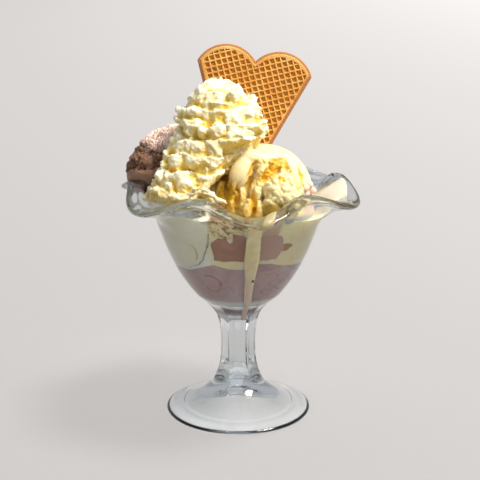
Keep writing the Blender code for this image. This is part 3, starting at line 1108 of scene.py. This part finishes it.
# folds on the front: middle across and up, half width, half height, how far out, roll
FOLDS = [
    (-7.5, 162.0, 6.6, 3.8, 3.0, 14),
    (-22.6, 159.6, 6.8, 2.4, 3.4, 12),
    (-23.4, 154.4, 6.2, 2.0, 3.2, 15),
    (-23.3, 149.6, 6.0, 2.8, 3.0, 5),
    (-11.7, 161.6, 8.4, 3.2, 3.6, -15),
    (2.6, 157.5, 11.6, 3.4, 3.0, -44),
    (3.2, 151.6, 8.4, 5.6, 3.0, 0),
    (-10.1, 148.4, 4.0, 3.2, 3.8, 0),
    (2.4, 145.4, 7.6, 2.6, 3.8, -4),
    (-4.1, 143.0, 3.9, 1.7, 4.0, 0),
    (-23.3, 145.6, 3.9, 1.8, 3.6, 5),
    (-17.1, 146.8, 2.4, 2.8, 3.6, 0),
    (-24.1, 139.0, 9.4, 3.4, 3.8, 8),
    (-11.0, 139.2, 4.4, 6.2, 3.0, 0),
    (-19.8, 134.8, 5.4, 3.0, 3.8, 0),
    (-30.5, 133.2, 4.8, 3.2, 3.0, 10),
    (-29.6, 127.4, 6.2, 2.2, 3.4, 20),
    (-33.4, 121.8, 4.4, 4.2, 3.6, 0),
    (-14.3, 128.2, 4.4, 5.2, 3.2, 0),
    (-24.3, 124.2, 5.8, 3.0, 4.0, -10),
    (-18.8, 121.4, 4.4, 2.0, 4.2, -15),
    (-27.5, 116.8, 6.4, 3.0, 3.6, 6),
]
# a thin ribbon of cream that lies along the lip: across, away from the front, up
RIBBON = [
    (-31.5, -41.0, 127.0), (-31.0, -42.0, 122.5), (-28.5, -42.5, 119.5), (-24.5, -42.5, 118.9),
    (-21.5, -42.0, 121.6), (-18.2, -42.0, 124.6), (-13.5, -42.0, 122.2), (-9.0, -42.0, 119.2),
    (-4.6, -42.0, 117.0),
]
SHELF = 7.2
FOLD_LEAN = math.radians(26)
TEETH_TWIST = 0.10
CREAM_VOXEL = 0.5


def heap_at(height):
    """The heap's middle (x, y) and radius at a height."""
    heap = np.array(CREAM_LINE, float)
    return tuple(np.interp(height, heap[:, 2], heap[:, i]) for i in (0, 1, 3))


def rope_path(low, high, start, end, radius, out, seed):
    """A rope's points round the heap, and its thickness at each."""
    steps = max(12, int(abs(end - start) / 2.2))
    share = np.linspace(0, 1, steps)
    turn = np.radians(start + (end - start) * share)
    height = low + (high - low) * share
    middle_x, middle_y, reach = heap_at(height)
    wander = np.sin(share * 9 + seed * 2.1) + 0.6 * np.sin(share * 17 + seed)
    reach = np.maximum(reach - radius * 0.8 + out + 0.9 * wander, 0.5)
    height = height + 1.3 * np.sin(share * 8 + seed * 1.3)
    x, y = middle_x + reach * np.sin(turn), middle_y - reach * np.cos(turn)
    taper = clipped(np.minimum(share, 1 - share) * 7) ** 0.5
    pleats = 1 + 0.2 * np.abs(np.sin(share * steps * 0.5 + seed))
    return np.column_stack([x, y, height]), radius * (0.35 + 0.65 * taper) * pleats


def sweep_star(work, path, thickness, teeth=6):
    """Sweeps a star-shaped section along a path, ring by ring."""
    around = teeth * 4
    rings = []
    for index, (point, along, radius) in enumerate(zip(path, np.gradient(path, axis=0), thickness)):
        along = Vector(along).normalized()
        side = along.cross(Vector((0, 0, 1))).normalized()
        up = side.cross(along)
        ring = bmesh.ops.create_circle(work, segments=around, radius=1.0)["verts"]
        for corner, vertex in enumerate(ring):
            turn = 2 * math.pi * corner / around
            star = 1 + 0.2 * math.cos(teeth * turn + TEETH_TWIST * index)
            offset = (side * math.cos(turn) + up * math.sin(turn)) * radius * star
            vertex.co = Vector(point) + offset
        rings.append(list({edge for vertex in ring for edge in vertex.link_edges}))
    for lower, upper in zip(rings, rings[1:]):
        bmesh.ops.bridge_loops(work, edges=lower + upper)
    for edges in (rings[0], rings[-1]):
        bmesh.ops.holes_fill(work, edges=edges, sides=around)


# %% One skin over the heap
def fold_place(across, up, wide, high, out, roll):
    """Where a flattened ball lies on the heap's front, leaning back as a fold does."""
    middle_x, middle_y, reach = heap_at(up)
    turn = math.asin(np.clip((across - middle_x) / reach, -0.96, 0.96))
    stand = Matrix.Translation((middle_x, middle_y, up)) @ Matrix.Rotation(turn, 4, "Z")
    lie = Matrix.Translation((0, 2.2 - reach, 0)) @ Matrix.Rotation(-math.radians(roll), 4, "Y")
    lean = Matrix.Rotation(-FOLD_LEAN, 4, "X")
    return stand @ lie @ lean @ Matrix.Diagonal((1.05 * wide, 0.6 * out + 1.6, 1.35 * high, 1))


def piled_cream():
    """Ropes, ribbon, folds, core and tip, remeshed into one skin."""
    work = bmesh.new()
    for seed, rope in enumerate(ROPES):
        sweep_star(work, *rope_path(*rope, seed))
    ribbon = curve_through(RIBBON, 5)
    sweep_star(work, ribbon, 1.35 + 0.35 * np.sin(np.arange(len(ribbon)) * 0.9), 5)
    for fold in FOLDS:
        where = fold_place(*fold)
        bmesh.ops.create_icosphere(work, subdivisions=4, radius=1.0, matrix=where)
    for x, y, z, radius in curve_through(CREAM_LINE, 3):
        where = Matrix.Translation((x, y, z))
        core = max(radius - 3.6, 1.0)
        bmesh.ops.create_icosphere(work, subdivisions=3, radius=core, matrix=where)
    tip = Matrix.Translation((-8.3, -5, 165.6))
    bmesh.ops.create_cone(
        work, segments=16, radius1=3.6, radius2=0.5, depth=9, cap_ends=True, matrix=tip
    )
    return remeshed(work, CREAM_VOXEL)


def cream_heap():
    """The piled cream with shelves, torn crests, burst bubbles and grain."""
    work, points, normals = piled_cream()
    points = neighbours_mean(work, points, 10)
    crests = 1 - crags(points, 6.5, 2, 21)
    shelf = ((points[:, 2] + 2.4 * rough(points, 15.0, 2, 22)) / SHELF) % 1
    bubbles = clipped(rough(points, 3.2, 2, 12) - 0.5)
    lift = 1.1 * shelf**1.4 - 0.9 + 0.38 * rough(points, 2.0, 3, 8, 0.7) - 1.0 * bubbles
    lift += 1.0 * crests**1.6 + 0.9 * rough(points, 7.0, 2, 23)
    points = points + normals * lift[:, None]
    points = press_on_wall(points, REACH["whipped cream"])
    fold = fold_depth(work, points, normals, 120)
    print("folds from", fold.min().round(2), "to", fold.max().round(2), "mm")
    print("share of folds", np.percentile(fold, [5, 25, 50, 75, 95]).round(2))
    place(work, points)
    work.normal_update()
    # painted shade: surfaces that face down are painted yellower
    painted_underside_shade = clipped(0.35 - np.array([vertex.normal.z for vertex in work.verts]))
    # painted shade: the lower heap, and the recess in its middle, are painted darker olive
    low = clipped((128 - points[:, 2]) / 16)
    core = np.exp(-(((points[:, 0] + 12) / 9) ** 4) - ((points[:, 2] - 142) / 6) ** 4)
    values = {
        # fold drives a painted shade in the material
        "fold": fold,
        "painted_underside_shade": painted_underside_shade,
        "low": np.maximum(0.7 * low, 0.45 * core),
        "pressed": clipped((116.5 - points[:, 2]) / 2),
        # painted shade: the pressed cream towards the front, behind the glass's lip, is painted
        # grey
        "front": clipped((np.degrees(turn_of(points)) + 32) / 5),
    }
    return work, values


# %% Siphon-whipped cream
cream_look, tree, shader = new_material(
    "siphon-whipped cream",
    Roughness=0.5,
    IOR=1.35,
    Subsurface_Weight=0.6,
    Subsurface_Radius=(1.0, 0.85, 0.5),
    Subsurface_Scale=0.001,
)
# painted shade: the cream's colour runs from white on crests to deep yellow in folds, by how deep
# each spot lies
value = add(tree, "ShaderNodeAttribute", attribute_name="fold").outputs["Fac"]
spread = {"Value": value, "From Min": -1.5, "From Max": 2.5}
depth = add(tree, "ShaderNodeMapRange", spread).outputs["Result"]
stops = [(0.22, "#fcf5da"), (0.4, "#f6e5a8"), (0.55, "#eacb58"), (0.78, "#d9ae32")]
painted_fold_shade = add(tree, "ShaderNodeValToRGB", {"Fac": depth}, stops).outputs["Color"]
# painted shade: the pale pressed cream turns grey towards the front, behind the lip
film = tinted(tree, "#f0eee4", [("front", 0, 1, "#a8a28c")])
# the underside and low tints are painted shade; the pressed tint is pale cream, greyed as painted
# shade towards the front
tints = [("painted_underside_shade", 0, 1, "#e6ca68"), ("low", 0, 1, "#c8ae60"), ("pressed", 0, 1, film)]
paint(tree, shader, painted_fold_shade, tints)
work, values = cream_heap()
finish("piped_cream", work, cream_look, ["whipped_cream"], values)

# %% [markdown]
# ## The waffle heart
#
# The biscuit is baked between two irons: a plain border and a field of small square pits, with
# ridges between them that run along the heart's left side and across it. The outline is filled
# with one face, cut by parallel planes in both directions, and each cell is inset and sunk.

# %% Heart outline
WAFER_THICK = 3.6
WAFER_CORNER = (28.5, 70.6)
WAFER_LOBE = (13.2, 64.1, 16.6)
WAFER_BORDER = 2.1
PITCH = 2.85
WAFER_TIP = Vector((-2.3, 13, 100.9))
WAFER_ROLL = math.radians(8.5)
WAFER_LEAN = math.radians(7.0)
ARC_CORNERS = 26


def heart_outline(inset=0.0):
    """Corners round the heart as (across, up) from its tip, moved in by the inset."""
    across, up = WAFER_CORNER
    mid_x, mid_y, radius = WAFER_LOBE
    start = math.atan2(up - mid_y, across - mid_x)
    end = math.acos(-mid_x / radius)
    turns = np.linspace(start, end, ARC_CORNERS)
    reach = radius - inset
    right = [(mid_x + reach * math.cos(t), mid_y + reach * math.sin(t)) for t in turns]
    right[0] = (right[0][0] - 0.4 * inset, right[0][1] - 0.5 * inset)
    right[-1] = (0.0, right[-1][1] - 0.6 * inset)
    tip = inset / math.sin(math.atan2(across, up))
    return [(0.0, tip), *right, *[(-x, y) for x, y in reversed(right[:-1])]]


# %% Bake the wafer
# across the border: how far in from the outline, how deep below the ridges
BORDER_PROFILE = [(1.9, 0.0), (1.55, 0.0), (1.3, 0.3), (0.5, 0.3), (0.1, 0.6), (0.0, 1.0)]
PIT_DEPTH = 0.95
# each cell's pit, ring by ring: how far in, how deep
PIT_PROFILE = [(0.30, 0.0), (0.22, 0.5 * PIT_DEPTH), (0.24, PIT_DEPTH)]
WHOLE_CELL = 3.2


def along_outline(points, outline):
    """Which corner of the outline each point follows, and its share of the way to the next."""
    corners = np.array(outline)
    step = np.roll(corners, -1, axis=0) - corners
    share = ((points[:, None] - corners) * step).sum(axis=2) / (step**2).sum(axis=1)
    share = clipped(share)
    away = np.linalg.norm(corners + share[..., None] * step - points[:, None], axis=2)
    nearest = away.argmin(axis=1)
    return nearest, share[np.arange(len(points)), nearest][:, None], away.min(axis=1)


def cut_cells(work):
    """Cuts the flat heart by parallel planes both ways; the first, middle cut is healed."""
    slant = math.atan2(*WAFER_CORNER)
    lines = [(slant + quarter * math.pi / 2, line) for quarter in (0, 1) for line in range(-45, 46)]
    for turn, line in [(0.0, 0), *lines]:
        across = Vector((math.cos(turn), 0, math.sin(turn)))
        everything = work.verts[:] + work.edges[:] + work.faces[:]
        bmesh.ops.bisect_plane(
            work, geom=everything, plane_co=across * line * PITCH, plane_no=across, dist=0.01
        )
    inner = [edge for edge in work.edges if not edge.is_boundary]
    middle = [edge for edge in inner if all(abs(vertex.co.x) < 0.001 for vertex in edge.verts)]
    bmesh.ops.dissolve_edges(work, edges=middle, use_verts=False)
    loose = [v for v in work.verts if len(v.link_edges) == 2 and not v.is_boundary]
    bmesh.ops.dissolve_verts(work, verts=loose)


def grow_border(work, field_outline):
    """Extrudes the field's rim through the border's profile, down to half the thickness."""
    rim = [vertex for vertex in work.verts if vertex.is_boundary]
    on_rim = np.array([vertex.co[:] for vertex in rim])[:, (0, 2)]
    nearest, share, _ = along_outline(on_rim, field_outline)
    place_of = dict(zip(rim, range(len(rim))))
    edges = [edge for edge in work.edges if edge.is_boundary]
    for inset, depth in [*BORDER_PROFILE, (0.0, WAFER_THICK / 2)]:
        outline = np.array(heart_outline(inset))
        there = outline[nearest] * (1 - share) + np.roll(outline, -1, axis=0)[nearest] * share
        grown = bmesh.ops.extrude_edge_only(work, edges=edges)["geom"]
        edges = [part for part in grown if isinstance(part, bmesh.types.BMEdge)]
        edges = [edge for edge in edges if edge.is_boundary]
        follows = {}
        for edge in edges:
            for vertex in edge.verts:
                old = [e.other_vert(vertex) for e in vertex.link_edges if not e.is_boundary]
                follows[vertex] = place_of[old[0]]
        for vertex, index in follows.items():
            vertex.co = (there[index][0], depth, there[index][1])
        place_of = follows


def wafer_side():
    """One face of the wafer: a flat heart cut into cells, each with a pit, and its border."""
    work = bmesh.new()
    field_outline = heart_outline(WAFER_BORDER)
    work.faces.new([work.verts.new((x, 0, y)) for x, y in field_outline])
    cut_cells(work)
    cells = [face for face in work.faces if face.calc_area() > WHOLE_CELL]
    grow_border(work, field_outline)
    for thickness, depth in PIT_PROFILE:
        bmesh.ops.inset_individual(work, faces=cells, thickness=thickness)
        for face in cells:
            for vertex in face.verts:
                vertex.co.y = depth
    bmesh.ops.translate(work, verts=work.verts, vec=(0, -WAFER_THICK / 2, 0))
    return work


def both_sides():
    whole = bmesh.new()
    for sign in (1, -1):
        work = wafer_side()
        bmesh.ops.scale(work, verts=work.verts, vec=(1, sign, 1))
        mesh = bpy.data.meshes.new("side")
        work.to_mesh(mesh)
        work.free()
        whole.from_mesh(mesh)
        bpy.data.meshes.remove(mesh)
    bmesh.ops.remove_doubles(whole, verts=whole.verts, dist=0.01)
    return whole


wafer_work = both_sides()
flat = coordinates(wafer_work)
follows, _, inward = along_outline(flat[:, (0, 2)], heart_outline())
straight = np.isin(follows, (0, len(heart_outline()) - 1))
values = {
    "sunk": np.where(inward > WAFER_BORDER - 0.2, WAFER_THICK / 2 - np.abs(flat[:, 1]), 0),
    "toast": clipped((np.where(straight, 1.9, 1.3) - inward) / 0.3),
}
tilt = Matrix.Rotation(-WAFER_LEAN, 4, "X") @ Matrix.Rotation(WAFER_ROLL, 4, "Y")
bmesh.ops.transform(wafer_work, matrix=Matrix.Translation(WAFER_TIP) @ tilt, verts=wafer_work.verts)

biscuit, tree, shader, cloud = dairy(
    "iron-baked wafer biscuit",
    [(0.3, "#dba355"), (0.55, "#e7b86d"), (0.8, "#f0cf8e")],
    spread=16.0,
    depth=0.0005,
    wet=0.6,
    grain=0.4,
)
paint(tree, shader, cloud, [("toast", 0, 1, "#b5794a"), ("sunk", 0.05, PIT_DEPTH, "#cd9036")])
finish("waffle_heart", wafer_work, biscuit, ["heart_wafer"], values, smooth=False)

# %% [markdown]
# ## Floor, light and camera

# %% Floor
floor_work = bmesh.new()
bmesh.ops.create_grid(floor_work, x_segments=2, y_segments=2, size=6.0)
floor = as_object("floor", floor_work)
paper, tree, shader = new_material("matt paper floor", Base_Color="#cfcbc8", Roughness=0.9)
floor.data.materials.append(paper)


# %% Lights
def soft_light(name, power, size, position, colour, only, shadow=True):
    light = bpy.data.lights.new(name, "AREA")
    light.shape = "DISK"
    light.energy = power
    light.size = size
    light.color = linear(colour)
    light.use_shadow = shadow
    lamp = bpy.data.objects.new(name, light)
    lamp.location = position
    aim = Vector((0, 0, 0.1)) - Vector(position)
    lamp.rotation_euler = aim.to_track_quat("-Z", "Y").to_euler()
    lamp.light_linking.receiver_collection = only
    bpy.context.collection.objects.link(lamp)


studio = bpy.data.collections.new("studio")
studio.objects.link(floor)
glassware = bpy.data.collections.new("glassware")
glassware.objects.link(glass)
soft_light("key", 84, 0.9, (1.15, -0.6, 2.0), "#fffaf2", sundae)
soft_light("sky panel", 6, 1.2, (-0.7, 1.5, 1.2), "#f0f0ec", food)
soft_light("back", 30, 1.6, (2.0, 1.3, 2.2), "#ffffff", food)
soft_light("front panel", 18, 1.5, (0.1, -2.0, 0.45), "#f0f3f6", bowl)
soft_light("overhead strip", 9, 0.5, (-0.35, -0.35, 2.2), "#f4f8ff", glassware)
soft_light("lip panel", 45, 2.3, (-0.4, -1.4, 1.6), "#dfeafa", glassware)
soft_light("back panel", 3, 2.4, (0.0, 2.3, 1.9), "#eef4ff", glassware)
soft_light("sweep", 234, 2.0, (2.6, 3.3, 3.0), "#ffffff", studio, shadow=False)
soft_light("top", 11, 0.7, (0.8, -0.1, 2.2), "#ffffff", studio)
world = bpy.data.worlds.new("studio")
world.use_nodes = True
backdrop = world.node_tree.nodes["Background"]
backdrop.inputs["Color"].default_value = (*linear("#f2f2f4"), 1.0)
backdrop.inputs["Strength"].default_value = 0.42
bpy.context.scene.world = world

# %% Camera
eye = bpy.data.cameras.new("camera")
eye.lens = 97.5
eye.sensor_width = 36
camera = bpy.data.objects.new("camera", eye)
camera.location = (0.00093, -0.6188, 0.2614)
camera.rotation_euler = (math.radians(90 - 15.62), 0, 0)
bpy.context.collection.objects.link(camera)
bpy.context.scene.camera = camera
bpy.context.scene.view_settings.view_transform = "Standard"
